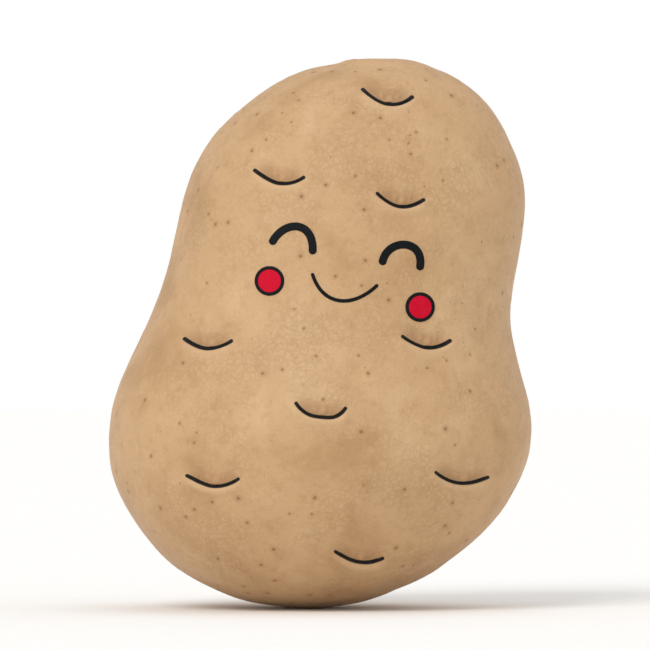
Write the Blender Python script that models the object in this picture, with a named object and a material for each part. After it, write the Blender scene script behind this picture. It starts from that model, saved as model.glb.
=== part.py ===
"""A single potato, standing on its broad heel end on a small flat spot.

Run it with:  blender --background --python part.py
It is in metres with +Z up. The origin is on the surface that the potato rests on, under the
middle of its box. The broad side with the most eyes faces -Y, and +X is to that side's right.
"""

import math

import bmesh
import bpy
import numpy as np
from mathutils import Vector, noise
from mathutils.bvhtree import BVHTree

MM = 0.001

# Driving dimensions, in millimetres.
LENGTH = 100.0  # from the resting spot up to the rose end
HEEL_CUT = 2.0  # how far the rounded heel would reach below the resting spot
SIDE_QUADS = 22  # quads along one side of the cube that is rounded into the tuber

# Sections across the tuber at heights above the resting spot: the X of the left and right
# edges, and how far the skin stands in front of and behind the middle plane.
SECTIONS = (
    # height, left, right, front, back
    (98.0, -2.4, 21.3, 9.5, 11.0),
    (92.0, -13.1, 30.1, 17.5, 19.5),
    (84.0, -20.9, 34.8, 22.0, 25.0),
    (74.0, -24.9, 37.2, 24.5, 27.5),
    (62.0, -27.5, 35.5, 26.5, 28.5),
    (50.0, -32.1, 34.4, 29.5, 29.5),
    (40.0, -36.9, 37.1, 32.5, 31.0),
    (31.0, -38.5, 38.5, 33.5, 31.0),
    (22.0, -37.0, 35.6, 32.0, 30.0),
    (12.0, -31.0, 27.6, 27.0, 26.0),
    (5.0, -22.4, 17.6, 19.0, 18.5),
    (2.0, -15.8, 11.4, 13.0, 13.0),
)
LEFT_FLANK_DEEPER = 0.12  # share by which the left flank is deeper than the right one

# Unevenness of growth, kept off the left and right edges so that the sections hold there.
SWELL_HEIGHT = 0.8
SWELL_LENGTH = 26.0
RIPPLE_HEIGHT = 0.22
RIPPLE_LENGTH = 10.0

# Each eye is a shallow bowl over a raised brow, which curls up at both ends. An eye's place is
# the middle of its brow's upper edge. Heights are above the resting spot.
FRONT_EYES = (
    # X, height
    (11.8, 91.2),
    (-7.8, 76.8),
    (14.1, 72.7),
    (-20.0, 47.3),
    (18.9, 47.5),
    (-0.2, 35.2),
    (-19.4, 22.8),
    (25.3, 23.3),
    (6.7, 9.1),
)
OTHER_EYES = (
    # height, and degrees about the Z axis from the front, positive towards +X
    (64.0, 114.0),
    (57.0, -114.0),
    (84.0, -142.0),
    (85.0, 124.0),
    (66.0, 176.0),
    (43.0, 138.0),
    (38.0, -148.0),
    (21.0, 168.0),
    (16.0, -118.0),
)
EYE_HALF_WIDTH = 4.5
EYE_TILT = 6.0  # degrees by which the end towards +X hangs lower, seen from in front
EYE_CURL = 1.7  # how far both ends of the brow are above its middle
BOWL_DEPTH = 0.9
BOWL_HALF_HEIGHT = 2.0
BOWL_RISE = 1.6  # from the brow's upper edge up to the middle of the bowl
BROW_HEIGHT = 0.35
BROW_HALF_HEIGHT = 1.0
BROW_DROP = 1.1  # from the brow's upper edge down to its crest
EYE_REACH = 7.0  # past this distance from its place, an eye leaves the skin as it was

SKIN_COLOUR = (0.617, 0.402, 0.212, 1.0)  # pale tan, in linear light
SKIN_ROUGHNESS = 0.55


def smooth_curve(places, values):
    """A curve through the values with no corner, level at both ends."""
    places = np.array(places, float)
    values = np.array(values, float)
    gaps = np.diff(places)
    count = len(places)
    rows = np.eye(count)
    wanted = np.zeros(count)
    for i in range(1, count - 1):
        before, after = 1 / gaps[i - 1], 1 / gaps[i]
        rows[i, i - 1 : i + 2] = before, 2 * (before + after), after
        rise_before = (values[i] - values[i - 1]) * before**2
        rise_after = (values[i + 1] - values[i]) * after**2
        wanted[i] = 3 * (rise_before + rise_after)
    slopes = np.linalg.solve(rows, wanted)

    def read(place):
        i = min(max(int(np.searchsorted(places, place)) - 1, 0), count - 2)
        s = (place - places[i]) / gaps[i]
        start = (1 + 2 * s) * (1 - s) ** 2 * values[i] + s * (1 - s) ** 2 * gaps[i] * slopes[i]
        end = s**2 * (3 - 2 * s) * values[i + 1] + s**2 * (s - 1) * gaps[i] * slopes[i + 1]
        return start + end

    return read


def section_curves():
    """Curves of the tuber's middle and fullness, by the polar angle down from the rose end.

    Fullness is the half width divided by the sine of the angle. It stays smooth up to both
    ends, where the width itself shrinks to nothing.
    """
    whole = LENGTH + HEEL_CUT
    angles = []
    readings = []
    for height, left, right, front, back in SECTIONS:
        angle = math.acos(2 * (height + HEEL_CUT) / whole - 1)
        shrink = math.sin(angle)
        angles.append(angle)
        readings.append(
            (
                (left + right) / 2,
                (back - front) / 2,
                (right - left) / 2 / shrink,
                (front + back) / 2 / shrink,
            )
        )
    places = [0.0, *angles, math.pi]
    columns = zip(readings[0], *readings, readings[-1])
    return [smooth_curve(places, column) for column in columns]


def rounded_cube():
    """A unit sphere of even quads, made by rounding a divided cube."""
    bm = bmesh.new()
    bmesh.ops.create_cube(bm, size=2)
    bmesh.ops.subdivide_edges(bm, edges=bm.edges[:], cuts=SIDE_QUADS - 1, use_grid_fill=True)
    for vert in bm.verts:
        evened = [math.tan(c * math.pi / 4) for c in vert.co]
        vert.co = Vector(evened).normalized()
    return bm


def tuber_skin():
    """A function from a direction to the place on the skin, in metres, before the eyes."""
    middle_x, middle_y, fullness_x, fullness_y = section_curves()

    def skin_at(direction):
        x, y, z = direction
        angle = math.acos(max(-1.0, min(1.0, z)))
        flank = 1 - LEFT_FLANK_DEEPER * x
        place = Vector(
            (
                middle_x(angle) + fullness_x(angle) * x,
                middle_y(angle) + fullness_y(angle) * y * flank,
                (LENGTH + HEEL_CUT) * (1 + z) / 2 - HEEL_CUT,
            )
        )
        off_edge = y * y * (3 - 2 * abs(y))
        swell = SWELL_HEIGHT * noise.noise(place / SWELL_LENGTH) * off_edge
        ripple = RIPPLE_HEIGHT * noise.noise(place / RIPPLE_LENGTH)
        outward = Vector((x, y * fullness_x(angle) / fullness_y(angle), z)).normalized()
        return (place + outward * (swell + ripple)) * MM

    return skin_at


def place_eyes(sphere, skin_at):
    """For each eye its middle on the skin, with the outward, sideways and upward directions."""
    shaped = sphere.copy()
    for vert in shaped.verts:
        vert.co = skin_at(vert.co)
    skin = BVHTree.FromBMesh(shaped)
    shaped.free()
    right, back, up = Vector((1, 0, 0)), Vector((0, 1, 0)), Vector((0, 0, 1))
    placed = []
    for across, height in FRONT_EYES:
        start = Vector((across * MM, -LENGTH * MM, height * MM))
        middle, outward, _face, _distance = skin.ray_cast(start, back)
        placed.append((middle, outward, right, up))
    for height, turn in OTHER_EYES:
        angle = math.radians(turn)
        away = Vector((math.sin(angle), -math.cos(angle), 0))
        middle, outward, _face, _distance = skin.ray_cast(up * height * MM, away)
        sideways = up.cross(outward).normalized()
        placed.append((middle, outward, sideways, outward.cross(sideways)))
    return placed


def refine_near_eyes(sphere, skin_at, placed):
    """Halves the quads in and round the eyes, so that their bowls come out round."""

    def near(vert):
        place = skin_at(vert.co)
        return any((place - middle).length < EYE_REACH * MM for middle, *_rest in placed)

    close = {vert for vert in sphere.verts if near(vert)}
    edges = [edge for edge in sphere.edges if close.issuperset(edge.verts)]
    bmesh.ops.subdivide_edges(sphere, edges=edges, cuts=1, use_grid_fill=True)
    for vert in sphere.verts:
        vert.co.normalize()


def eye_relief(across, up):
    """How far the skin stands out, in millimetres, at a place measured from the eye's own."""
    tilt = math.radians(EYE_TILT)
    along = (across * math.cos(tilt) - up * math.sin(tilt)) / EYE_HALF_WIDTH
    above = across * math.sin(tilt) + up * math.cos(tilt) - EYE_CURL * along**2
    width = math.exp(-((1.1 * along) ** 4))
    bowl = math.exp(-(((above - BOWL_RISE) / BOWL_HALF_HEIGHT) ** 2))
    brow = math.exp(-(((above + BROW_DROP) / BROW_HALF_HEIGHT) ** 2))
    return width * (BROW_HEIGHT * brow - BOWL_DEPTH * bowl)


def sink_eyes(bm, placed):
    for vert in bm.verts:
        start = vert.co.copy()
        for middle, outward, sideways, upward in placed:
            offset = (start - middle) / MM
            if offset.length < EYE_REACH:
                relief = eye_relief(offset.dot(sideways), offset.dot(upward))
                vert.co += outward * relief * MM


def cut_resting_spot(bm):
    """Cuts the heel level at height zero and closes it with one flat face."""
    geometry = bm.verts[:] + bm.edges[:] + bm.faces[:]
    cut = bmesh.ops.bisect_plane(
        bm, geom=geometry, plane_co=(0, 0, 0), plane_no=(0, 0, -1), clear_outer=True
    )
    rim = [part for part in cut["geom_cut"] if isinstance(part, bmesh.types.BMEdge)]
    for vert in {vert for edge in rim for vert in edge.verts}:
        vert.co.z = 0
    bmesh.ops.contextual_create(bm, geom=rim)


def centre_over_origin(bm):
    """Moves the tuber so that the middle of its box is over the origin."""
    for axis in (0, 1):
        reach = [vert.co[axis] for vert in bm.verts]
        shift = (min(reach) + max(reach)) / 2
        for vert in bm.verts:
            vert.co[axis] -= shift


def skin_material():
    material = bpy.data.materials.new("potato_skin")
    material.use_nodes = True
    shader = material.node_tree.nodes["Principled BSDF"]
    shader.inputs["Base Color"].default_value = SKIN_COLOUR
    shader.inputs["Roughness"].default_value = SKIN_ROUGHNESS
    shader.inputs["Metallic"].default_value = 0
    return material


def make_potato():
    bm = rounded_cube()
    skin_at = tuber_skin()
    placed = place_eyes(bm, skin_at)
    refine_near_eyes(bm, skin_at, placed)
    for vert in bm.verts:
        vert.co = skin_at(vert.co)
    sink_eyes(bm, placed)
    cut_resting_spot(bm)
    centre_over_origin(bm)
    bmesh.ops.recalc_face_normals(bm, faces=bm.faces[:])
    mesh = bpy.data.meshes.new("potato")
    bm.to_mesh(mesh)
    bm.free()
    mesh.shade_smooth()
    mesh.set_sharp_from_angle(angle=math.radians(25))
    mesh.materials.append(skin_material())
    potato = bpy.data.objects.new("potato", mesh)
    bpy.context.scene.collection.objects.link(potato)


def main():
    for old in list(bpy.data.objects):
        bpy.data.objects.remove(old)
    make_potato()


main()
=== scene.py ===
"""A raw potato with a friendly face painted on its front, and a small studio to show it in.

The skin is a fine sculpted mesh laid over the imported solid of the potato. The face is thin
films of paint on the skin, so that hiding them leaves a plain potato. Everything is in metres
with +Z up and the front facing -Y.
"""

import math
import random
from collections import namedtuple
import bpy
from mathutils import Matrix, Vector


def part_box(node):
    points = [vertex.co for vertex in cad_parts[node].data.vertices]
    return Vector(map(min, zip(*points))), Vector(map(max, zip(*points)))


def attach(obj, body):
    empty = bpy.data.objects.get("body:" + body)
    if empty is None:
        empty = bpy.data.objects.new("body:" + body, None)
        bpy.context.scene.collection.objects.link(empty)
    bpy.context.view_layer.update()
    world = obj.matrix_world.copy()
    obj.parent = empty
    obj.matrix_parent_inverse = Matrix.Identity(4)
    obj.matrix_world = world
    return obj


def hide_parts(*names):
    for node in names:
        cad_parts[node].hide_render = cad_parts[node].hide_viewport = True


bl_info = {
    "name": "Smiling Potato",
    "version": (1, 0, 0),
    "blender": (4, 5, 0),
    "location": "3D Viewport > Sidebar > Potato",
    "description": "Adds a potato with sculpted skin and eyes, a painted face and a studio",
    "category": "Add Mesh",
}

import bmesh
import bpy
import numpy as np
from bpy.props import FloatProperty, FloatVectorProperty, IntProperty, PointerProperty
from mathutils import Vector, kdtree, noise
from mathutils.bvhtree import BVHTree
from mathutils.geometry import interpolate_bezier

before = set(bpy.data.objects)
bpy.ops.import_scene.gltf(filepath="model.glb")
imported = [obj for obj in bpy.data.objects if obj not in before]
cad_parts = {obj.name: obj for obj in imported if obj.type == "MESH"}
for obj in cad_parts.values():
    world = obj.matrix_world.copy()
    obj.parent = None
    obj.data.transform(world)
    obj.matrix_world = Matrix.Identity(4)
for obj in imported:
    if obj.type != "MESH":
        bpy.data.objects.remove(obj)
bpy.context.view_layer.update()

MM = 0.001
LOW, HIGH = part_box("potato")
SIZE = HIGH - LOW
FOOT = Vector(((LOW.x + HIGH.x) / 2, (LOW.y + HIGH.y) / 2, LOW.z))
UNIT = SIZE.z / 100  # heights and places below are in hundredths of the potato's height

# Eyes in front. X and height are those of the middle of the brow's arc. The arc's ends curl up
# by a power of the place along it: near 1 is a straight rise, and a high one turns up late,
# like a hook.
FRONT_EYES = (
    # X, height, half width, degrees by which the +X end hangs lower, curl of the ends,
    # powers of the curl on the left and on the right
    (11.6, 91.2, 4.45, 9.3, 2.05, 1.55, 2.5),
    (-7.55, 76.9, 4.35, 8.6, 1.65, 1.5, 2.3),
    (13.95, 72.7, 4.15, 7.4, 1.75, 1.65, 2.05),
    (-20.0, 47.35, 4.15, 2.4, 1.5, 1.9, 1.7),
    (18.6, 47.55, 4.2, 5.4, 1.5, 1.45, 2.35),
    (-0.15, 35.2, 4.35, 6.0, 1.95, 2.55, 3.8),
    (-19.15, 22.75, 4.55, 3.3, 1.6, 1.4, 2.25),
    (24.9, 23.1, 4.7, 6.3, 1.55, 2.0, 1.9),
    (6.6, 8.95, 4.25, 9.6, 1.4, 1.6, 2.6),
)
# Eyes on the sides and the back, placed by degrees about the Z axis from the front towards +X.
OTHER_EYES = (
    # height, turn, half width, degrees by which the right end hangs lower, curl, powers
    (64.0, 114.0, 4.7, 7.0, 1.8, 1.6, 2.2),
    (57.0, -114.0, 4.5, 4.0, 1.7, 1.5, 2.0),
    (84.0, -142.0, 4.3, 8.0, 1.9, 1.5, 2.4),
    (85.0, 124.0, 4.2, 5.0, 1.9, 1.8, 2.0),
    (66.0, 176.0, 4.6, 7.0, 1.7, 1.7, 3.0),
    (43.0, 138.0, 4.8, 3.0, 1.6, 1.6, 1.9),
    (38.0, -148.0, 4.6, 6.0, 1.8, 1.5, 2.3),
    (21.0, 168.0, 4.7, 5.0, 1.5, 2.0, 1.8),
    (16.0, -118.0, 4.4, 6.0, 1.6, 1.5, 2.2),
)
BUDS = (
    # place along the brow as a share of its half width, rise over the brow, radius, height
    (-0.22, 1.45, 0.75, 0.30),
    (0.12, 1.15, 0.95, 0.42),
    (0.42, 1.55, 0.65, 0.24),
)

# Paint, as X and height. A stroke is a cubic Bezier curve: its start, two handles and its end.
STROKES = {
    "left_eyelid": ((-8.5, 66.5), (-6.2, 70.4), (-1.2, 70.0), (-1.4, 64.8)),
    "right_eyelid": ((11.1, 62.9), (12.1, 67.1), (18.6, 66.9), (17.8, 62.0)),
    "smile": ((-1.4, 60.45), (0.4, 54.8), (5.75, 54.45), (10.0, 58.5)),
}
CHEEKS = {"left_cheek": (-9.1, 59.35), "right_cheek": (17.8, 54.7)}

NUB_X = 10.4  # the rose end's nub is on the right of the top
NUB_HEIGHT = 99.85
HEEL_X = -2.5  # the lowest place of the heel's bowl, which replaces the flat spot
HEEL_Y = 1.4
HEEL_BOWL = 0.0116  # rise of the bowl at a distance of one
HEEL_BLEND = 0.2  # softness of the bend between the bowl and the skin round it
SCAR_X = -1.0  # the heel scar is the place on the skin nearest to this one on the floor
SCAR_Y = 14.5

Eye = namedtuple("Eye", "middle outward right up half_width tilt curl left_power right_power")
EyePlaces = namedtuple("EyePlaces", "along past above level distance")


def linear(hex_colour):
    """An sRGB hex colour as linear red, green, blue and alpha."""
    channels = [int(hex_colour[i : i + 2], 16) / 255 for i in (1, 3, 5)]
    light = [c / 12.92 if c <= 0.04045 else ((c + 0.055) / 1.055) ** 2.4 for c in channels]
    return (*light, 1.0)


def smooth_step(start, end, value):
    """0 at start and before it, 1 at end and past it, with a soft rise between."""
    share = np.clip((value - start) / (end - start), 0.0, 1.0)
    return share * share * (3 - 2 * share)


def hump(value, middle, half_width):
    """A bell of height 1 round a middle."""
    return np.exp(-(((value - middle) / half_width) ** 2))


def add_node(tree, kind, inputs=None, **settings):
    """Adds a node. An input is named, or numbered, and gets a number, a colour or a link."""
    made = tree.nodes.new(kind)
    for name, value in settings.items():
        setattr(made, name, value)
    for key, value in (inputs or {}).items():
        if isinstance(key, int):
            socket = made.inputs[key]
        else:
            socket = next(s for s in made.inputs if s.enabled and s.name == key)
        if isinstance(value, bpy.types.Node):
            value = next(s for s in value.outputs if s.enabled)
        if isinstance(value, bpy.types.NodeSocket):
            tree.links.new(value, socket)
        else:
            socket.default_value = value
    return made


def new_material(name):
    """A material with an empty node tree, and its shader joined to its output."""
    material = bpy.data.materials.new(name)
    material.use_nodes = True
    tree = material.node_tree
    tree.nodes.clear()
    shader = add_node(tree, "ShaderNodeBsdfPrincipled")
    add_node(tree, "ShaderNodeOutputMaterial", {"Surface": shader})
    return material, tree, shader


def link_sockets(tree, shader, sources):
    """Joins nodes to the shader's inputs, by the inputs' names."""
    for name, source in sources.items():
        output = next(s for s in source.outputs if s.enabled)
        tree.links.new(output, shader.inputs[name])


def millimetres(tree):
    """The piece's own coordinates in millimetres, so that a scale is one over a real size."""
    place = add_node(tree, "ShaderNodeTexCoord").outputs["Object"]
    return add_node(
        tree, "ShaderNodeVectorMath", {"Vector": place, "Scale": 1 / MM}, operation="SCALE"
    )


# ---------------------------------------------------------------------------------------
# Materials

SOFT = {"interpolation_type": "SMOOTHSTEP"}
COLOUR = {"data_type": "RGBA"}
TIMES = {"operation": "MULTIPLY"}
TIMES_AND_ADD = {"operation": "MULTIPLY_ADD"}


def cork_clouds(tree, place, look):
    """Clouds of paler and of browner cork 18 mm across, with flecks and specks in them."""
    cloud = {"Vector": place, "Scale": 1 / 18, "Detail": 3.0, "Roughness": 0.55, "Distortion": 0.4}
    clouds = add_node(tree, "ShaderNodeTexNoise", cloud)
    share = {"Value": clouds, "From Min": 0.52, "From Max": 0.74, "To Max": 0.85}
    brown = add_node(tree, "ShaderNodeMapRange", share, **SOFT)
    share = {"Value": clouds, "From Min": 0.48, "From Max": 0.3, "To Max": 0.85}
    pale = add_node(tree, "ShaderNodeMapRange", share, **SOFT)
    colours = {"Factor": brown, "A": look.skin_colour, "B": look.brown_colour}
    tint = add_node(tree, "ShaderNodeMix", colours, **COLOUR)
    colours = {"Factor": pale, "A": tint, "B": look.pale_cork_and_highlight_colour}
    tint = add_node(tree, "ShaderNodeMix", colours, **COLOUR)
    for size, low, high, most, colour in (
        # millimetres across, noise at which it starts and is full, share at most, colour
        (2.4, 0.46, 0.76, 0.5, look.brown_colour),
        (3.1, 0.50, 0.24, 0.35, look.pale_cork_and_highlight_colour),
        (0.5, 0.57, 0.72, 0.38, look.net_colour),
    ):
        fleck = {"Vector": place, "Scale": 1 / size, "Detail": 5.0, "Roughness": 0.64}
        flecks = add_node(tree, "ShaderNodeTexNoise", fleck)
        share = {"Value": flecks, "From Min": low, "From Max": high, "To Max": most}
        shown = add_node(tree, "ShaderNodeMapRange", share, **SOFT)
        colours = {"Factor": shown, "A": tint, "B": colour}
        tint = add_node(tree, "ShaderNodeMix", colours, **COLOUR)
    return tint


def russet_net(tree, place, bent):
    """How netted the cork is: faint seams round flakes 1.2 mm across, in patches 12 mm across.

    A real net is finer, and is drawn as coarse as it needs to be to show.
    """
    cell = {"Vector": bent, "Scale": 1 / 1.2}
    cells = add_node(tree, "ShaderNodeTexVoronoi", cell, feature="DISTANCE_TO_EDGE")
    share = {"Value": cells, "From Min": 0.26, "From Max": 0.0}
    seams = add_node(tree, "ShaderNodeMapRange", share, **SOFT)
    patch = {"Vector": place, "Scale": 1 / 12, "Detail": 4.0, "Roughness": 0.6}
    patches = add_node(tree, "ShaderNodeTexNoise", patch)
    share = {"Value": patches, "From Min": 0.42, "From Max": 0.66, "To Min": 0.03, "To Max": 0.24}
    netted = add_node(tree, "ShaderNodeMapRange", share, **SOFT)
    return add_node(tree, "ShaderNodeMath", {0: seams, 1: netted}, **TIMES)


def small_pores(tree, bent):
    """Breathing pores up to 0.7 mm across and 3.4 mm apart, in some of the cells only."""
    cells = add_node(tree, "ShaderNodeTexVoronoi", {"Vector": bent, "Scale": 1 / 3.4})
    draw = add_node(tree, "ShaderNodeSeparateColor", {"Color": cells.outputs["Color"]})
    share = {"Value": draw, "From Min": 0.45, "From Max": 1.0, "To Max": 0.1}
    radius = add_node(tree, "ShaderNodeMapRange", share)
    gap = add_node(tree, "ShaderNodeMath", {0: cells, 1: radius}, operation="SUBTRACT")
    share = {"Value": gap, "From Min": 0.03, "From Max": -0.03}
    return add_node(tree, "ShaderNodeMapRange", share, **SOFT)


def sculpted_pore_colours(tree, tint, look):
    """The larger pores, which stand up from the skin: a brown core in a ring of darker cork."""
    offset = add_node(tree, "ShaderNodeAttribute", attribute_name="pore_offset")
    reach = {0: offset.outputs["Vector"]}
    reach = add_node(tree, "ShaderNodeVectorMath", reach, operation="LENGTH").outputs["Value"]
    near = add_node(tree, "ShaderNodeAttribute", attribute_name="pore_near").outputs["Fac"]
    inside = add_node(tree, "ShaderNodeMath", {0: near, 1: 0.5}, operation="GREATER_THAN")
    for start, end, most, colour in (
        # distances in the pore's radii at which it starts and is full, share at most, colour
        (1.3, 0.7, 0.45, look.brown_colour),
        (0.6, 0.25, 0.65, look.pore_colour),
    ):
        share = {"Value": reach, "From Min": start, "From Max": end, "To Max": most}
        shown = add_node(tree, "ShaderNodeMapRange", share, **SOFT)
        shown = add_node(tree, "ShaderNodeMath", {0: shown, 1: inside}, **TIMES)
        colours = {"Factor": shown, "A": tint, "B": colour}
        tint = add_node(tree, "ShaderNodeMix", colours, **COLOUR)
    return tint


def eye_colours(tree, tint, look):
    """The eyes' bowls in painted shade, their brows in a painted highlight, buds, scar, darker sunk
    skin, and the crease's share.
    """
    line = add_node(tree, "ShaderNodeAttribute", attribute_name="eye_line").outputs["Vector"]
    past, above, near = add_node(tree, "ShaderNodeSeparateXYZ", {"Vector": line}).outputs
    in_eye = add_node(tree, "ShaderNodeMapRange", {"Value": near}, **SOFT)
    share = {"Value": past, "From Min": 1.2, "From Max": -2.2}
    within = add_node(tree, "ShaderNodeMapRange", share, **SOFT)
    shaded = add_node(tree, "ShaderNodeMath", {0: in_eye, 1: within}, **TIMES)
    over = add_node(tree, "ShaderNodeMath", {0: above, 1: 0.0}, operation="GREATER_THAN")
    under = add_node(tree, "ShaderNodeMath", {0: above, 1: 0.0}, operation="LESS_THAN")
    # The bowl over the arc is darkened as painted shade, and the brow under it is lightened as a
    # painted highlight.
    for side, edge, core, most, colour in (
        # side of the arc, heights over it of the edge and the core, share at most, colour
        (over, 3.3, 0.1, 0.75, look.bowl_painted_shade_colour),
        (under, -2.1, -0.7, 0.55, look.pale_cork_and_highlight_colour),
    ):
        share = {"Value": above, "From Min": edge, "From Max": core, "To Max": most}
        shown = add_node(tree, "ShaderNodeMapRange", share, **SOFT)
        shown = add_node(tree, "ShaderNodeMath", {0: shown, 1: side}, **TIMES)
        shown = add_node(tree, "ShaderNodeMath", {0: shown, 1: shaded}, **TIMES)
        colours = {"Factor": shown, "A": tint, "B": colour}
        tint = add_node(tree, "ShaderNodeMix", colours, **COLOUR)
    marks = add_node(tree, "ShaderNodeAttribute", attribute_name="marks").outputs["Vector"]
    bud, scar, hollow = add_node(tree, "ShaderNodeSeparateXYZ", {"Vector": marks}).outputs
    # Browner where the skin sinks round an eye, the more so the deeper.
    share = {"Value": hollow, "From Min": 0.1, "From Max": 0.6, "To Max": 0.3}
    darkening = add_node(tree, "ShaderNodeMapRange", share, **SOFT)
    for shown, colour in (
        (darkening, look.brown_colour),
        (bud, look.bud_colour),
        (scar, look.pore_colour),
    ):
        colours = {"Factor": shown, "A": tint, "B": colour}
        tint = add_node(tree, "ShaderNodeMix", colours, **COLOUR)

    # The crease's near-black line is painted shade, with the soil that stays there. It keeps its
    # width along the brow, and ends round.
    beyond = add_node(tree, "ShaderNodeMath", {0: past, 1: 0.0}, operation="MAXIMUM")
    from_line = add_node(tree, "ShaderNodeCombineXYZ", {"X": beyond, "Y": above})
    from_line = add_node(tree, "ShaderNodeVectorMath", {0: from_line}, operation="LENGTH")
    half_width = look.crease_width / MM / 2
    gap = {0: from_line.outputs["Value"], 1: half_width}
    gap = add_node(tree, "ShaderNodeMath", gap, operation="SUBTRACT")
    share = {"Value": gap, "From Min": 0.07, "From Max": -0.05}
    crease = add_node(tree, "ShaderNodeMapRange", share, **SOFT)
    crease = add_node(tree, "ShaderNodeMath", {0: crease, 1: in_eye}, **TIMES)
    colours = {"Factor": crease, "A": tint, "B": look.crease_shade_and_soil_colour}
    return add_node(tree, "ShaderNodeMix", colours, **COLOUR), crease


def potato_skin_material(look):
    """Potato skin: a paper-thin layer of dry cork over pale flesh, washed clean of soil.

    It is matt with a faint waxy gleam. Cloudy patches, flecks, a soft net of russet and
    brown breathing pores keep the tan from looking flat. The eyes' creases are nearly black,
    painted shade with the soil that stays there, their bowls are darkened as painted shade, and
    their brows lightened as a painted highlight.
    """
    material, tree, shader = new_material("potato_skin_cork")
    place = millimetres(tree)

    # Bends 1.7 mm long and up to 2.4 mm deep take the straight edges out of the net's flakes.
    bend = add_node(tree, "ShaderNodeTexNoise", {"Vector": place, "Scale": 1 / 1.7, "Detail": 4.0})
    bent = {0: bend.outputs["Color"], 1: (2.4, 2.4, 2.4), 2: place}
    bent = add_node(tree, "ShaderNodeVectorMath", bent, **TIMES_AND_ADD)

    tint = cork_clouds(tree, place, look)
    net = russet_net(tree, place, bent)
    colours = {"Factor": net, "A": tint, "B": look.net_colour}
    tint = add_node(tree, "ShaderNodeMix", colours, **COLOUR)
    pores = small_pores(tree, bent)
    share = add_node(tree, "ShaderNodeMath", {0: pores, 1: 0.5}, **TIMES)
    colours = {"Factor": share, "A": tint, "B": look.pore_colour}
    tint = add_node(tree, "ShaderNodeMix", colours, **COLOUR)
    tint = sculpted_pore_colours(tree, tint, look)
    tint, crease = eye_colours(tree, tint, look)

    # Relief too fine for the mesh: grain 0.8 mm across, seams and small pores, in millimetres.
    grain = {"Vector": place, "Scale": 1 / 0.8, "Detail": 5.0, "Roughness": 0.6}
    grain = add_node(tree, "ShaderNodeTexNoise", grain)
    height = add_node(tree, "ShaderNodeMath", {0: grain, 1: 0.2}, **TIMES)
    height = add_node(tree, "ShaderNodeMath", {0: net, 1: -0.08, 2: height}, **TIMES_AND_ADD)
    height = add_node(tree, "ShaderNodeMath", {0: pores, 1: 0.04, 2: height}, **TIMES_AND_ADD)
    relief = {"Height": height, "Strength": 1.0, "Distance": MM}
    relief = add_node(tree, "ShaderNodeBump", relief)
    share = {"Value": grain, "From Min": 0.3, "From Max": 0.7, "To Min": 0.52, "To Max": 0.66}
    rough = add_node(tree, "ShaderNodeMapRange", share)
    rough = add_node(tree, "ShaderNodeMath", {0: crease, 1: 0.25, 2: rough}, **TIMES_AND_ADD)
    link_sockets(tree, shader, {"Base Color": tint, "Roughness": rough, "Normal": relief})
    shader.inputs["IOR"].default_value = 1.42
    shader.inputs["Sheen Weight"].default_value = 0.05
    shader.inputs["Sheen Roughness"].default_value = 0.4
    return material


def paint_material(name, colour, thin_colour):
    """Poster paint, brushed on and dried: opaque and matt, so it shows no highlight.

    Thin places are a shade lighter, and the bristles leave low streaks 0.3 mm apart, which is
    as coarse as they need to be to show.
    """
    material, tree, shader = new_material(name)
    place = millimetres(tree)
    cloud = add_node(tree, "ShaderNodeTexNoise", {"Vector": place, "Scale": 1 / 1.3, "Detail": 4.0})
    share = {"Value": cloud, "From Min": 0.45, "From Max": 0.7, "To Max": 0.6}
    thin = add_node(tree, "ShaderNodeMapRange", share, **SOFT)
    colours = {"Factor": thin, "A": colour, "B": thin_colour}
    tint = add_node(tree, "ShaderNodeMix", colours, **COLOUR)
    streaked = add_node(tree, "ShaderNodeMapping", {"Vector": place, "Scale": (0.25, 1.0, 1.0)})
    streak = {"Vector": streaked, "Scale": 1 / 0.3, "Detail": 2.0}
    streaks = add_node(tree, "ShaderNodeTexNoise", streak)
    relief = {"Height": streaks, "Strength": 0.5, "Distance": 0.02 * MM}
    relief = add_node(tree, "ShaderNodeBump", relief)
    share = {"Value": cloud, "From Min": 0.3, "From Max": 0.7, "To Min": 0.6, "To Max": 0.72}
    rough = add_node(tree, "ShaderNodeMapRange", share)
    link_sockets(tree, shader, {"Base Color": tint, "Roughness": rough, "Normal": relief})
    shader.inputs["IOR"].default_value = 1.48
    shader.inputs["Specular IOR Level"].default_value = 0.12
    return material


def board_material(look):
    """Matt painted board: white with the faintest mottle of a roller, and no gloss."""
    material, tree, shader = new_material("matt_white_board")
    place = millimetres(tree)
    mottle = {"Vector": place, "Scale": 1 / 4.0, "Detail": 3.0}
    roller = add_node(tree, "ShaderNodeTexNoise", mottle)
    share = {"Value": roller, "From Min": 0.3, "From Max": 0.7, "To Max": 0.3}
    share = add_node(tree, "ShaderNodeMapRange", share)
    colours = {"Factor": share, "A": look.floor_colour, "B": linear("#F1F0EC")}
    tint = add_node(tree, "ShaderNodeMix", colours, **COLOUR)
    relief = {"Height": roller, "Strength": 0.2, "Distance": 0.05 * MM}
    relief = add_node(tree, "ShaderNodeBump", relief)
    link_sockets(tree, shader, {"Base Color": tint, "Normal": relief})
    shader.inputs["Roughness"].default_value = 0.9
    shader.inputs["Specular IOR Level"].default_value = 0.2
    return material


# ---------------------------------------------------------------------------------------
# Skin

# Lengths are in millimetres, or in hundredths of the potato's height, which are as long.
# A fade is a pair: where it starts and where it is complete.
HEEL_BAND = (0.1, 0.4)  # shares of the height: the potato's spine runs from this band's middle
ROSE_BAND = (0.6, 0.9)  # to this one's
REFINED_REACHES = (1.9, 0.7)  # quads this near to a brow's arc are halved, once for each

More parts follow.
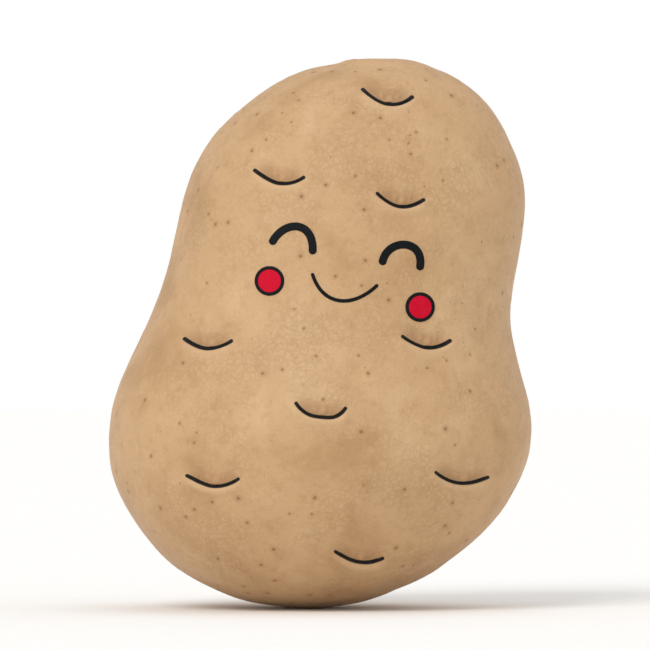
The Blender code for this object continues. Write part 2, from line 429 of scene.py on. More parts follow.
EYE_SPAN = 14.0  # an eye is looked for only this far from its middle, along each axis
EYE_REACH = 7.0  # past this distance from its arc, an eye leaves the skin as it was
SAME_WAY = 0.2  # how nearly the skin has to face the eye's way, where 1 is exactly
ARC_END_FADE = (-1.0, 0.3)  # past the end, where distances come to be measured from it
LIP = (-0.95, 0.62)  # how far over the arc, and half width, as for the three below
BOWL = (1.3, 1.25)
FOLD = (3.3, 0.3)
CREASE = (0.0, 0.23)
FOLD_DEPTH = 0.07
EYE_FADE = (1.6, -1.8)  # past the brow's end, as for the three below
FOLD_FADE = (-0.5, -2.4)
CREASE_FADE = (0.25, -1.2)
BUD_FADE = (1.0, -1.5)
FULL_BUD = 0.25  # relief at which a bud has its full colour
BUD_SHARE = 0.7  # how much of that colour shows
BUD_BROW = 4.5  # half width of the brow that the buds' places are for
WIDENED_BY_RISE = (0.52, 0.4)  # shares by which skin that faces up widens the dark line
# Near an arc the eye's colours include painted shade in its bowl and crease and a painted highlight
# on its brow.
LINE_FADE = (3.6, 2.6)  # distance from the arc, where the eye's own colours set in
PAST_KEPT = (-5, 4)  # places in an eye are kept within these, as its colours need no more
ABOVE_KEPT = (-4, 4)

GROWTH = ((9.0, 0.2), (3.6, 0.07), (1.4, 0.025))  # length and height of the skin's unevenness
FLOOR_FADE = (0.1, 1.5)  # heights: the skin has no relief where it touches the floor
NUB_HALF_WIDTH = 6.0
NUB_HALF_DEPTH = 5.0
NUB_FADE = (90.0, 96.0)  # heights
NUB_LEFT_FADE = (3.0, -4.0)  # X from the nub's middle, from its right side to its left one
NUB_TOP_FADE = (1.45, 0.7)  # of the level top, in the nub's own radii
NUB_TOP_SOFTER = (0.4, -0.2)  # what the right side adds to that
NUB_STEP_FADES = ((0.9, 1.2), (2.2, 1.2))  # of the step down round the top, in and out
NUB_STEP = (0.05, 0.2)  # how deep the step is, and what the left side adds to that
SCAR_HUMPS = (
    # height, distance from the scar's middle, half width
    (0.22, 2.3, 0.6),
    (-0.75, 0.0, 1.3),
    (0.25, 0.0, 0.5),
)
SCAR_FADE = (2.0, 0.9)
SCAR_SHARE = 0.8  # how much of the dark shows in the scar

PORE_SPACING = 2.6
PORE_RADII = (0.42, 0.85)
PORE_TRIES = 40  # for each pore
PORE_MOUND = (0.10, 1.15)  # height, and radius as a share of the pore's
PORE_PIT = (0.08, 0.35)  # depth, and half width as a share of the pore's radius
PORE_FADE = (2.2, 1.4)  # distance in the pore's radii
CLEAR_OF_EYES = 2.4  # no large pore is nearer than this, as for the four below
CLEAR_OF_FLOOR = 1.0
CLEAR_OF_SCAR = 3.5
CLEAR_OF_STROKES = 1.6
CLEAR_OF_CHEEKS = 4.2


def band_middle(solid, low_share, high_share):
    """The middle of the solid's vertices between two shares of its height."""
    low = LOW.z + SIZE.z * low_share
    high = LOW.z + SIZE.z * high_share
    places = [vert.co for vert in solid.verts if low <= vert.co.z <= high]
    return sum(places, Vector()) / len(places)


def wrap_cage(quads, relax_passes, smooth_passes):
    """An even cage of quads, cast from the potato's spine out to its packed surface.

    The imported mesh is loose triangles, so a merged copy of it is cast on. The last passes
    run without going back to that surface, and take its flat facets out of the cage.
    """
    solid = bmesh.new()
    solid.from_mesh(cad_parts["potato"].data)
    bmesh.ops.remove_doubles(solid, verts=solid.verts[:], dist=0.01 * MM)
    surface = BVHTree.FromBMesh(solid)
    heel = band_middle(solid, *HEEL_BAND)
    rose = band_middle(solid, *ROSE_BAND)
    solid.free()
    cage = bmesh.new()
    bmesh.ops.create_cube(cage, size=2)
    bmesh.ops.subdivide_edges(cage, edges=cage.edges[:], cuts=quads - 1, use_grid_fill=True)
    for vert in cage.verts:
        direction = Vector([math.tan(c * math.pi / 4) for c in vert.co]).normalized()
        start = heel.lerp(rose, (direction.z + 1) / 2)
        vert.co = surface.ray_cast(start, direction)[0]
    along_axes = {"use_axis_x": True, "use_axis_y": True, "use_axis_z": True}
    for _ in range(relax_passes):
        bmesh.ops.smooth_vert(cage, verts=cage.verts[:], factor=0.5, **along_axes)
        for vert in cage.verts:
            vert.co = surface.find_nearest(vert.co)[0]
    for _ in range(smooth_passes):
        bmesh.ops.smooth_vert(cage, verts=cage.verts[:], factor=0.5, **along_axes)
    return cage


def subdivided(cage, levels):
    """The cage rounded by Subdivision Surface, as a new bmesh."""
    mesh = bpy.data.meshes.new("cage")
    cage.to_mesh(mesh)
    cage.free()
    holder = bpy.data.objects.new("cage", mesh)
    bpy.context.scene.collection.objects.link(holder)
    rounding = holder.modifiers.new("Rounding", "SUBSURF")
    rounding.levels = levels
    rounding.render_levels = levels
    evaluated = holder.evaluated_get(bpy.context.evaluated_depsgraph_get())
    bm = bmesh.new()
    bm.from_mesh(evaluated.to_mesh())
    bpy.data.objects.remove(holder)
    bpy.data.meshes.remove(mesh)
    return bm


def round_foot(bm):
    """Rounds the flat spot into a shallow bowl, so that the potato rests on its middle.

    The bowl rises by the square of the distance, and where the skin round the flat spot rises
    faster, it passes into that.
    """
    places = np.array([vert.co for vert in bm.verts])
    across = (places[:, 0] - FOOT.x) / UNIT - HEEL_X
    depth = (places[:, 1] - FOOT.y) / UNIT - HEEL_Y
    height = (places[:, 2] - LOW.z) / UNIT
    bowl = HEEL_BOWL * (across**2 + depth**2)
    softness = HEEL_BLEND * np.minimum(bowl, 1)
    places[:, 2] += (bowl - height + np.hypot(bowl - height, softness)) / 2 * UNIT
    for vert, place in zip(bm.verts, places):
        vert.co = place


def place_eyes(surface):
    """Every eye's place on the skin and its own directions."""
    right, back, up = Vector((1, 0, 0)), Vector((0, 1, 0)), Vector((0, 0, 1))
    eyes = []
    for across, height, *shape in FRONT_EYES:
        start = FOOT + right * across * UNIT + up * height * UNIT - back * SIZE.y
        middle, outward, _face, _distance = surface.ray_cast(start, back)
        eyes.append(Eye(middle, outward, right, up, *shape))
    for height, turn, *shape in OTHER_EYES:
        angle = math.radians(turn)
        away = Vector((math.sin(angle), -math.cos(angle), 0))
        middle, outward, _face, _distance = surface.ray_cast(FOOT + up * height * UNIT, away)
        sideways = up.cross(outward).normalized()
        eyes.append(Eye(middle, outward, sideways, outward.cross(sideways), *shape))
    return eyes


def crease_widening(normals, level):
    """How much wider the dark line is drawn where it is level and the skin faces up.

    There the brow's lip hides a part of it, so every line has about the same width in front.
    """
    by_rise, by_square = WIDENED_BY_RISE
    return 1 + (by_rise * normals[:, 2] + by_square * normals[:, 2] ** 2) * level


def eye_places(points, normals, eyes):
    """For each point, where it is in the nearest eye, in millimetres.

    Gives its place along the brow as a share of the half width, how far it is past the brow's
    ends (negative between them), how far above the brow's arc, how level the arc is there,
    from 0 to 1, and the point's distance from the arc.
    """
    nearest = np.full(len(points), np.inf)
    along, past, above, level = np.zeros((4, len(points)))
    for eye in eyes:
        offset = (points - np.array(eye.middle)) / UNIT
        across = offset @ np.array(eye.right)
        height = offset @ np.array(eye.up)
        lean = math.radians(eye.tilt)
        share = (across * math.cos(lean) - height * math.sin(lean)) / eye.half_width
        rise = across * math.sin(lean) + height * math.cos(lean)
        power = np.where(share > 0, eye.right_power, eye.left_power)
        end_slope = power * eye.curl / eye.half_width
        held = np.minimum(np.abs(share), 1)
        slope = end_slope * held ** (power - 1)
        over = (rise - eye.curl * held**power) / np.hypot(1, slope)

        # Past an end, both distances are measured from it, along the arc's direction there.
        beyond = (np.abs(share) - 1) * eye.half_width
        risen = rise - eye.curl
        past_end = (beyond + end_slope * risen) / np.hypot(1, end_slope)
        beside_end = (risen - end_slope * beyond) / np.hypot(1, end_slope)
        ended = np.where(beyond > 0, 1, smooth_step(*ARC_END_FADE, past_end))
        over += (beside_end - over) * ended

        turned = np.sign(share) * np.arctan(slope) - lean
        distance = np.hypot(np.maximum(past_end, 0), over)
        within = np.abs(offset).max(1) < EYE_SPAN
        same_side = normals @ np.array(eye.outward) > SAME_WAY
        closer = within & same_side & (distance < nearest)
        found = (distance, share, past_end, over, np.cos(turned) ** 2)
        for kept, value in zip((nearest, along, past, above, level), found):
            kept[closer] = value[closer]
    return EyePlaces(along, past, above, level, nearest)


def vertex_places(bm):
    """The vertices' places and outward normals as arrays."""
    bm.normal_update()
    points = np.array([vert.co for vert in bm.verts])
    normals = np.array([vert.normal for vert in bm.verts])
    return points, normals


def refine_near_eyes(bm, eyes, reach):
    """Halves the quads that are within so many millimetres of a brow's arc."""
    points, normals = vertex_places(bm)
    close = eye_places(points, normals, eyes).distance < reach
    edges = [e for e in bm.edges if close[e.verts[0].index] and close[e.verts[1].index]]
    bmesh.ops.subdivide_edges(bm, edges=edges, cuts=1, use_grid_fill=True)
    bm.verts.index_update()


def bud_relief(places):
    """The small buds that sit in the bowl over the brow, in millimetres."""
    relief = np.zeros(len(places.along))
    for share, rise, radius, height in BUDS:
        distance = np.hypot((places.along - share) * BUD_BROW, places.above - rise) / radius
        relief = np.maximum(relief, height * np.clip(1 - distance**2, 0, 1) ** 1.5)
    return relief


def eye_relief(look, places):
    """How far the skin stands out round an eye, in millimetres."""
    past, above = places.past, places.above
    held = smooth_step(*EYE_FADE, past)
    lip = look.lip_height / MM * hump(above, *LIP)
    bowl = look.bowl_depth / MM * hump(above, *BOWL)
    fold = FOLD_DEPTH * hump(above, *FOLD) * smooth_step(*FOLD_FADE, past)
    crease = look.crease_depth / MM * hump(above, *CREASE) * smooth_step(*CREASE_FADE, past)
    relief = held * (lip - bowl - fold) - crease + held * bud_relief(places)
    return relief * (places.distance < EYE_REACH)


def growth_relief(points):
    """Soft unevenness of the flesh and fine wrinkles of the skin, in millimetres."""
    relief = np.zeros(len(points))
    for length, height in GROWTH:
        scaled = points / (length * MM)
        relief += [height * noise.noise(place) for place in map(Vector, scaled)]
    return relief


def rose_end_relief(points):
    """The blunt nub at the top of the potato, with a step down to the skin round it.

    The step is clear on the nub's left and all but lost on its right.
    """
    across = (points[:, 0] - FOOT.x) / UNIT - NUB_X
    depth = (points[:, 1] - FOOT.y) / UNIT
    height = (points[:, 2] - LOW.z) / UNIT
    rim = np.hypot(across / NUB_HALF_WIDTH, depth / NUB_HALF_DEPTH)
    left = smooth_step(*NUB_LEFT_FADE, across)
    right = 1 - left
    start, full = [at + more * right for at, more in zip(NUB_TOP_FADE, NUB_TOP_SOFTER)]
    flat_top = (NUB_HEIGHT - height) * smooth_step(start, full, rim)
    inner, outer = [smooth_step(*fade, rim) for fade in NUB_STEP_FADES]
    least, more = NUB_STEP
    step = (least + more * left) * (inner * outer)
    return (flat_top - step) * smooth_step(*NUB_FADE, height)


def near_face(points, normals):
    """Which points are too near to a painted stroke or cheek for a pore."""
    count = 20
    drawn = [interpolate_bezier(*map(Vector, stroke), count) for stroke in STROKES.values()]
    marks = [(place, CLEAR_OF_STROKES) for stroke in drawn for place in stroke]
    marks += [(Vector(place), CLEAR_OF_CHEEKS) for place in CHEEKS.values()]
    across = (points[:, 0] - FOOT.x) / UNIT
    height = (points[:, 2] - LOW.z) / UNIT
    close = np.zeros(len(points), bool)
    for place, reach in marks:
        close |= np.hypot(across - place.x, height - place.y) < reach
    return close & (normals[:, 1] < 0)


def random_pores(points, count, seed, keep_out):
    """Places and radii, in millimetres, of the large pores, spread at random over the skin."""
    draw = random.Random(seed)
    free = np.flatnonzero(~keep_out)
    chosen = []
    tries = 0
    while len(chosen) < count and tries < PORE_TRIES * count:
        tries += 1
        place = Vector(points[free[draw.randrange(len(free))]])
        if all((place - other).length > PORE_SPACING * MM for other, _radius in chosen):
            chosen.append((place, draw.uniform(*PORE_RADII)))
    return chosen


def pore_places(points, pores):
    """Each point's offset from its nearest pore, in the pore's radii."""
    tree = kdtree.KDTree(len(pores))
    for i, (place, _radius) in enumerate(pores):
        tree.insert(place, i)
    tree.balance()
    offsets = np.zeros((len(points), 3))
    for i, point in enumerate(points):
        place, index, _distance = tree.find(point)
        offsets[i] = (Vector(point) - place) / (pores[index][1] * MM)
    return offsets


def pore_relief(reach):
    """A low mound with a pit in it, in millimetres, by the distance in the pore's radii."""
    height, radius = PORE_MOUND
    depth, half_width = PORE_PIT
    mound = height * np.clip(1 - (reach / radius) ** 2, 0, 1) ** 1.5
    return mound - depth * hump(reach, 0.0, half_width)


def heel_scar_relief(distance):
    """The dimple where the stolon broke off, with its raised rim and its stub."""
    return sum(height * hump(distance, *shape) for height, *shape in SCAR_HUMPS)


def finished_mesh(bm, name):
    """The closed bmesh as a smooth mesh whose faces all point outwards.

    On a thin curved film the operator can settle on inwards, and then the volume is negative.
    """
    bmesh.ops.recalc_face_normals(bm, faces=bm.faces[:])
    if bm.calc_volume(signed=True) < 0:
        bmesh.ops.reverse_faces(bm, faces=bm.faces[:])
    mesh = bpy.data.meshes.new(name)
    bm.to_mesh(mesh)
    bm.free()
    mesh.shade_smooth()
    return mesh


def set_attribute(mesh, name, values):
    """Stores a number or a vector for each vertex."""
    kind = "FLOAT" if values.ndim == 1 else "FLOAT_VECTOR"
    attribute = mesh.attributes.new(name, kind, "POINT")
    key = "value" if values.ndim == 1 else "vector"
    attribute.data.foreach_set(key, values.astype(np.float32).ravel())


def fit_to_box(points):
    """Stretches the points a little until they just reach the potato's box, and the floor."""
    base = np.array(FOOT)
    reach = np.array(HIGH) - base
    offset = points - base
    offset[:, 2] -= offset[:, 2].min()
    for axis in range(3):
        furthest = np.abs(offset[:, axis]).max()
        offset[:, axis] *= reach[axis] / furthest
    return base + offset


def sculpt_skin(look):
    """The potato's skin as a mesh with the attributes that its material reads."""
    cage = wrap_cage(quads=27, relax_passes=3, smooth_passes=2)
    bm = subdivided(cage, levels=2)
    round_foot(bm)
    eyes = place_eyes(BVHTree.FromBMesh(bm))
    for reach in REFINED_REACHES:
        refine_near_eyes(bm, eyes, reach)
    points, normals = vertex_places(bm)
    places = eye_places(points, normals, eyes)
    lift = (points[:, 2] - LOW.z) / MM

    heel = Vector((FOOT.x + SCAR_X * UNIT, FOOT.y + SCAR_Y * UNIT, LOW.z))
    scar_middle = BVHTree.FromBMesh(bm).find_nearest(heel)[0]
    from_scar = np.linalg.norm(points - np.array(scar_middle), axis=1) / MM
    keep_out = (places.distance < CLEAR_OF_EYES) | (lift < CLEAR_OF_FLOOR)
    keep_out |= (from_scar < CLEAR_OF_SCAR) | near_face(points, normals)
    pores = random_pores(points, look.pore_count, look.seed, keep_out)
    offsets = pore_places(points, pores)
    from_pore = np.linalg.norm(offsets, axis=1)

    sunk = eye_relief(look, places)
    relief = sunk + growth_relief(points) + pore_relief(from_pore) + heel_scar_relief(from_scar)
    relief = (relief + rose_end_relief(points)) * smooth_step(*FLOOR_FADE, lift)
    points = fit_to_box(points + normals * (relief * MM)[:, None])
    for vert, place in zip(bm.verts, points):
        vert.co = place
    mesh = finished_mesh(bm, "potato_skin")

    near = smooth_step(*LINE_FADE, places.distance)
    past = np.clip(places.past, *PAST_KEPT)
    above = np.clip(places.above / crease_widening(normals, places.level), *ABOVE_KEPT)
    set_attribute(mesh, "eye_line", np.stack((past, above, near), axis=1))
    held = smooth_step(*BUD_FADE, places.past) * (places.distance < EYE_REACH)
    bud = held * np.clip(bud_relief(places) / FULL_BUD, 0, 1) * BUD_SHARE
    scar = SCAR_SHARE * smooth_step(*SCAR_FADE, from_scar)
    hollow = np.clip(-sunk, 0, 1)
    set_attribute(mesh, "marks", np.stack((bud, scar, hollow), axis=1))
    set_attribute(mesh, "pore_offset", offsets)
    set_attribute(mesh, "pore_near", smooth_step(*PORE_FADE, from_pore))
    return mesh


def show_piece(name, mesh, material):
    """Adds a finished piece of the object, which moves with the root body."""
    mesh.materials.append(material)
    piece = bpy.data.objects.new(name, mesh)
    bpy.context.scene.collection.objects.link(piece)
    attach(piece, "root")
    return piece


# ---------------------------------------------------------------------------------------
# Painted face

RING_OVER_DAB = 1.35  # the ring is painted over the dab's edge, so it stands higher
FILM_MIDDLE = 0.3  # in film thicknesses over the skin, so that the underside is below it
FILM_HALF = 0.7  # half of what is drawn, likewise
FULL_EDGE = 0.6  # how full a film's rounded edge is: 1 is a plain circle, 0 a square
CUTS_PER_HALF_WIDTH = 2.5  # how finely a stroke is cut along its run
TIP = 0.05  # over this length a stroke's direction is taken


def skin_surface():
    """The finished skin, to lay paint on."""
    skin = bpy.data.objects.get("potato_skin")
    if skin is None:
        raise RuntimeError("add the skin before the face, which is painted on it")
    bm = bmesh.new()
    bm.from_mesh(skin.data)
    surface = BVHTree.FromBMesh(bm)
    bm.free()
    return surface


def lay_on_skin(bm, surface, film):
    """Wraps a flat piece of paint, drawn in X and Z, round the front of the skin.

    A vertex's Y is how far it stands over the skin, in film thicknesses.
    """
    for vert in bm.verts:
        start = Vector((vert.co.x, LOW.y - SIZE.y, vert.co.z))
        place, outward, _face, _distance = surface.ray_cast(start, Vector((0, 1, 0)))
        vert.co = place + outward * vert.co.y * film


def bezier_run(points):
    """A cubic Bezier curve as a function from a length along it to a place, and its length."""
    count = 200
    drawn = np.array(interpolate_bezier(*map(Vector, points), count))
    lengths = np.concatenate(([0], np.cumsum(np.linalg.norm(np.diff(drawn, axis=0), axis=1))))

    def at(length):
        return Vector([np.interp(length, lengths, drawn[:, axis]) for axis in (0, 1)])

    return at, lengths[-1]


def film_stand(share):
    """How far a film's rounded edge stands over the skin, in film thicknesses.

    The share is from -1 at the underside to 1 on top.
    """
    return FILM_MIDDLE + FILM_HALF * math.copysign(abs(share) ** FULL_EDGE, share)


def stroke_mesh(name, width, surface, film):
    """A painted stroke with round ends: a flattened capsule laid along its curve."""
    at, length = bezier_run(STROKES[name])
    half_width = width / 2 / UNIT
    bm = bmesh.new()
    bmesh.ops.create_uvsphere(bm, u_segments=20, v_segments=9, radius=1)
    band = [e for e in bm.edges if e.verts[0].co.z * e.verts[1].co.z < 0]
    for vert in bm.verts:
        vert.co.z = vert.co.z * half_width + math.copysign(length / 2, vert.co.z)
    cuts = int(length / half_width * CUTS_PER_HALF_WIDTH)
    bmesh.ops.subdivide_edges(bm, edges=band, cuts=cuts)
    for vert in bm.verts:
        run = vert.co.z + length / 2
        held = min(max(run, 0.0), length)
        ahead = (at(min(held + TIP, length)) - at(max(held - TIP, 0))).normalized()
        aside = Vector((ahead.y, -ahead.x)) * vert.co.x * half_width
        place = at(held) + ahead * (run - held) + aside
        stand = film_stand(vert.co.y)
        vert.co = FOOT + Vector((place.x * UNIT, 0, place.y * UNIT))
        vert.co.y = stand
    lay_on_skin(bm, surface, film)
    return finished_mesh(bm, name)


def disc_mesh(name, centre, radius, surface, film):
    """A round dab of paint, flat on top with a rounded edge."""
    bm = bmesh.new()
    bmesh.ops.create_uvsphere(bm, u_segments=64, v_segments=32, radius=1)
    for vert in bm.verts:
        x, y, z = vert.co
        vert.co = FOOT + Vector((centre[0] * UNIT + x * radius, 0, centre[1] * UNIT + y * radius))
        vert.co.y = film_stand(z)
    lay_on_skin(bm, surface, film)
    return finished_mesh(bm, name)


def ring_mesh(name, centre, radius, width, surface, film):
    """A painted ring: a rounded section spun once about the cheek's middle."""
    bm = bmesh.new()
    section = bmesh.ops.create_circle(bm, segments=16, radius=1)
    for vert in section["verts"]:
        stand = film_stand(vert.co.y)
        vert.co = Vector((radius + vert.co.x * width / 2, stand * MM, 0))
    bmesh.ops.spin(
        bm,
        geom=bm.verts[:] + bm.edges[:],
        axis=(0, 1, 0),
        cent=(0, 0, 0),
        steps=96,
        angle=2 * math.pi,
        use_merge=True,
    )
    for vert in bm.verts:
        stand = vert.co.y / MM
        vert.co += FOOT + Vector((centre[0] * UNIT, 0, centre[1] * UNIT))
        vert.co.y = stand
    lay_on_skin(bm, surface, film)
    return finished_mesh(bm, name)


def ink(look):
    """The black paint, made once for all the strokes and rings."""
    found = bpy.data.materials.get("black_poster_paint")
    return found or paint_material("black_poster_paint", look.black_colour, linear("#1A1C1E"))


# ---------------------------------------------------------------------------------------
# Studio

VIEW_WIDTH = 118.2  # at the potato's distance
VIEW_X = 0.8  # the middle of the view
VIEW_HEIGHT = 51.5
WALL_TOP = 0.15  # sines of the heights between which the walls pass into the ceiling
CEILING = 0.5


def add_floor(look):
    """A round white board under the potato, wide enough to fill every view."""
    bm = bmesh.new()
    bmesh.ops.create_circle(bm, cap_ends=True, segments=128, radius=look.floor_radius)
    for vert in bm.verts:
        vert.co.z = LOW.z
    mesh = bpy.data.meshes.new("studio_floor")
    bm.to_mesh(mesh)
    bm.free()
    mesh.materials.append(board_material(look))
    floor = bpy.data.objects.new("studio_floor", mesh)
    bpy.context.scene.collection.objects.link(floor)


def add_soft_sun(name, turn, rise, spread, strength):
    """A wide soft light from far away, so that it lights the whole board evenly.

    Turn is its bearing from the front towards +X, rise its height and spread its width, all in
    degrees.
    """
    light = bpy.data.lights.new(name, "SUN")
    light.angle = math.radians(spread)
    light.energy = strength
    lamp = bpy.data.objects.new(name, light)
    turn, rise = math.radians(turn), math.radians(rise)
    flat = math.cos(rise)
    away = Vector((math.sin(turn) * flat, -math.cos(turn) * flat, math.sin(rise)))
    lamp.location = away
    lamp.rotation_euler = away.to_track_quat("Z", "Y").to_euler()
    bpy.context.scene.collection.objects.link(lamp)


def add_surroundings(look):
    """White walls up to the height of the view, and a dimmer ceiling over them."""
    world = bpy.data.worlds.new("white_studio")
    world.use_nodes = True
    tree = world.node_tree
    tree.nodes.clear()
    direction = add_node(tree, "ShaderNodeTexCoord").outputs["Generated"]
    rise = add_node(tree, "ShaderNodeSeparateXYZ", {"Vector": direction}).outputs["Z"]
    share = {"Value": rise, "From Min": WALL_TOP, "From Max": CEILING}
    share.update({"To Min": look.wall_strength, "To Max": look.ceiling_strength})
    strength = add_node(tree, "ShaderNodeMapRange", share, **SOFT)
    glow = add_node(tree, "ShaderNodeBackground", {"Color": (1, 1, 1, 1), "Strength": strength})
    add_node(tree, "ShaderNodeOutputWorld", {"Surface": glow})
    bpy.context.scene.world = world


def add_camera(look):
    """A long lens at the potato's own height, straight in front of it."""
    data = bpy.data.cameras.new("front_camera")
    data.lens = look.lens
    data.sensor_width = 36
    distance = VIEW_WIDTH * UNIT * data.lens / data.sensor_width
    camera = bpy.data.objects.new("front_camera", data)
    camera.location = FOOT + Vector((VIEW_X * UNIT, -distance, VIEW_HEIGHT * UNIT))
    camera.rotation_euler = (math.pi / 2, 0, 0)
    data.clip_start = distance / 50
    data.clip_end = distance * 20
    bpy.context.scene.collection.objects.link(camera)
    bpy.context.scene.camera = camera


# ---------------------------------------------------------------------------------------
# Settings


def colour_setting(name, description, hex_colour):
    """A colour that a user may change, in linear light."""
    return FloatVectorProperty(
        name=name,
        description=description,
        default=linear(hex_colour),
        min=0,
        max=1,
        size=4,
        subtype="COLOR",
    )


def length_setting(name, description, default_mm, most_mm):
    """A length that a user may change, kept in metres."""
    return FloatProperty(
        name=name,
        description=description,
        default=default_mm * MM,
        min=0,
        max=most_mm * MM,
        precision=5,
        subtype="DISTANCE",
        unit="LENGTH",
    )


class PotatoSkinSettings(bpy.types.PropertyGroup):
    skin_colour: colour_setting("Skin", "Colour of most of the skin", "#C59F74")
    # Also the painted highlight on the eyes' brows, under each crease.
    pale_cork_and_highlight_colour: colour_setting("Pale cork", "Colour of the paler clouds", "#CFAB81")
    brown_colour: colour_setting("Brown cork", "Colour of the browner clouds", "#B0885C")
    net_colour: colour_setting("Net", "Colour of the russet net's seams", "#94704A")
    pore_colour: colour_setting("Pores", "Colour of the breathing pores", "#765636")
    # The eyes' bowls take this colour as painted shade.
    bowl_painted_shade_colour: colour_setting("Eye bowls", "Colour of the stain in the eyes' bowls", "#97714A")
    bud_colour: colour_setting("Buds", "Colour of the resting buds", "#BD9369")
    # The creases are painted this near-black as shade, with the soil that stays in them.
    crease_shade_and_soil_colour: colour_setting("Creases", "Colour of the crease over each brow", "#14110F")
    crease_width: length_setting("Crease width", "Width of the dark line in an eye", 0.64, 2)
    crease_depth: length_setting("Crease depth", "Depth of the crease over a brow", 0.5, 2)
    lip_height: length_setting("Brow height", "How far a brow stands out", 0.36, 2)
    bowl_depth: length_setting("Bowl depth", "Extra depth of an eye's bowl", 0.45, 2)
    pore_count: IntProperty(
        name="Pores", description="Number of large pores", default=240, min=1, max=900
    )
    seed: IntProperty(name="Seed", description="Another seed moves the pores", default=7)


class PotatoFaceSettings(bpy.types.PropertyGroup):
    black_colour: colour_setting("Black paint", "Colour of the strokes and rings", "#0F1113")
    red_colour: colour_setting("Red paint", "Colour of the cheeks", "#C30428")
    film: length_setting("Paint thickness", "How far the paint stands over the skin", 0.13, 1)
    eyelid_width: length_setting("Eyelid width", "Width of the closed eyes' strokes", 1.46, 5)
    smile_width: length_setting("Smile width", "Width of the smile's stroke", 0.65, 5)
    cheek_radius: length_setting("Cheek radius", "Radius of the red of a cheek", 2.03, 6)
    ring_width: length_setting("Ring width", "Width of the black round a cheek", 0.62, 3)


def strength_setting(name, description, default, most):
    """A strength of light that a user may change."""
    return FloatProperty(name=name, description=description, default=default, min=0, max=most)


class PotatoStageSettings(bpy.types.PropertyGroup):
    floor_colour: colour_setting("Floor", "Colour of the board", "#FAF9F7")
    floor_radius: length_setting("Floor radius", "Radius of the board", 3000, 9000)
    lens: FloatProperty(
        name="Lens",
        description="The camera's focal length",
        default=400,
        min=50,
        max=800,
        unit="CAMERA",
    )
    key_strength: strength_setting("Key light", "Light from the upper left, in W/m2", 1.4, 20)
    top_strength: strength_setting("Top light", "Light from overhead, in W/m2", 0.85, 20)
    wall_strength: strength_setting("Walls", "Brightness of the studio's white walls", 1.0, 4)
    ceiling_strength: strength_setting("Ceiling", "Brightness of the studio's ceiling", 0.45, 4)


# ---------------------------------------------------------------------------------------
# Operators


class POTATO_OT_add_skin(bpy.types.Operator):
    """Sculpt the potato's skin, with its eyes, pores and scar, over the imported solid"""

    bl_idname = "potato.add_skin"
    bl_label = "Add Skin"

    def execute(self, context):
        look = context.scene.potato_skin
        skin = show_piece("potato_skin", sculpt_skin(look), potato_skin_material(look))
        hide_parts("potato")
        return {"FINISHED"}


class POTATO_OT_paint_eyelids(bpy.types.Operator):
    """Paint the two closed eyes"""

    bl_idname = "potato.paint_eyelids"
    bl_label = "Paint Eyelids"

    def execute(self, context):
        look = context.scene.potato_face
        surface = skin_surface()
        for name in ("left_eyelid", "right_eyelid"):
            mesh = stroke_mesh(name, look.eyelid_width, surface, look.film)
            show_piece(name, mesh, ink(look))
        return {"FINISHED"}


class POTATO_OT_paint_smile(bpy.types.Operator):
    """Paint the smile"""

    bl_idname = "potato.paint_smile"
    bl_label = "Paint Smile"

    def execute(self, context):
        look = context.scene.potato_face
        mesh = stroke_mesh("smile", look.smile_width, skin_surface(), look.film)
        show_piece("smile", mesh, ink(look))
        return {"FINISHED"}


class POTATO_OT_paint_cheeks(bpy.types.Operator):
    """Paint the two red cheeks and the black rings round them"""

    bl_idname = "potato.paint_cheeks"
    bl_label = "Paint Cheeks"

    def execute(self, context):
        look = context.scene.potato_face
        surface = skin_surface()
        red = paint_material("red_poster_paint", look.red_colour, linear("#CB1232"))
        for name, centre in CHEEKS.items():
            inner = look.cheek_radius + look.ring_width / 4
            dab = disc_mesh(name, centre, inner, surface, look.film)
            show_piece(name, dab, red)
            middle = look.cheek_radius + look.ring_width / 2
            film = look.film * RING_OVER_DAB
            ring = ring_mesh(name + "_ring", centre, middle, look.ring_width, surface, film)
            show_piece(name + "_ring", ring, ink(look))
        return {"FINISHED"}


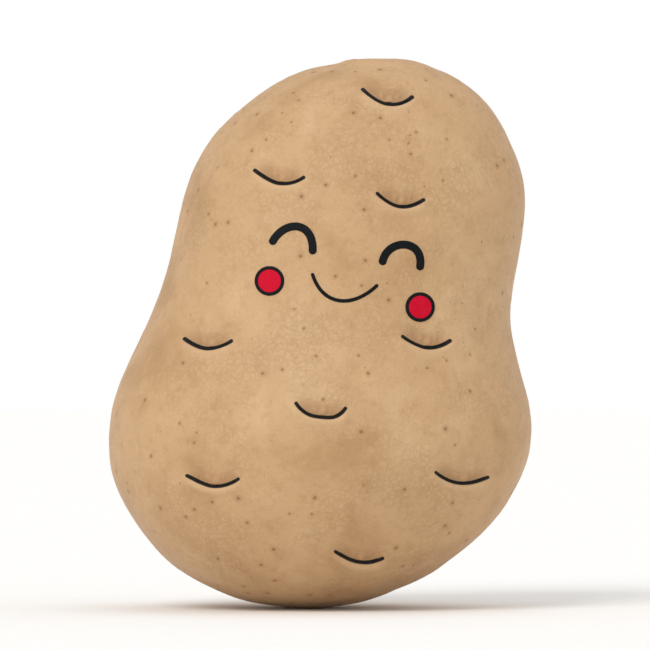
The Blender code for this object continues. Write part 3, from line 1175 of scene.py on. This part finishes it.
class POTATO_OT_add_stage(bpy.types.Operator):
    """Add the white board, the soft lights and the camera"""

    bl_idname = "potato.add_stage"
    bl_label = "Add Studio"

    def execute(self, context):
        look = context.scene.potato_stage
        add_floor(look)
        add_soft_sun("key_light", turn=-32, rise=42, spread=30, strength=look.key_strength)
        add_soft_sun("top_light", turn=120, rise=78, spread=80, strength=look.top_strength)
        add_surroundings(look)
        add_camera(look)
        context.scene.view_settings.view_transform = "Standard"
        return {"FINISHED"}


OPERATORS = (
    POTATO_OT_add_skin,
    POTATO_OT_paint_eyelids,
    POTATO_OT_paint_smile,
    POTATO_OT_paint_cheeks,
    POTATO_OT_add_stage,
)


class POTATO_PT_panel(bpy.types.Panel):
    """The potato's settings and the steps that build it"""

    bl_label = "Smiling Potato"
    bl_idname = "POTATO_PT_panel"
    bl_space_type = "VIEW_3D"
    bl_region_type = "UI"
    bl_category = "Potato"

    def draw(self, context):
        scene = context.scene
        for settings in (scene.potato_skin, scene.potato_face, scene.potato_stage):
            box = self.layout.box()
            for name in settings.__annotations__:
                box.prop(settings, name)
        for operator in OPERATORS:
            self.layout.operator(operator.bl_idname)


SETTINGS = {
    "potato_skin": PotatoSkinSettings,
    "potato_face": PotatoFaceSettings,
    "potato_stage": PotatoStageSettings,
}


def register():
    for group in SETTINGS.values():
        bpy.utils.register_class(group)
    for operator in OPERATORS:
        bpy.utils.register_class(operator)
    bpy.utils.register_class(POTATO_PT_panel)
    for name, group in SETTINGS.items():
        setattr(bpy.types.Scene, name, PointerProperty(type=group))


def unregister():
    for name in SETTINGS:
        delattr(bpy.types.Scene, name)
    bpy.utils.unregister_class(POTATO_PT_panel)
    for operator in reversed(OPERATORS):
        bpy.utils.unregister_class(operator)
    for group in reversed(SETTINGS.values()):
        bpy.utils.unregister_class(group)


def main():
    register()
    bpy.ops.potato.add_skin()
    bpy.ops.potato.paint_eyelids()
    bpy.ops.potato.paint_smile()
    bpy.ops.potato.paint_cheeks()
    bpy.ops.potato.add_stage()


if __name__ == "__main__":
    main()
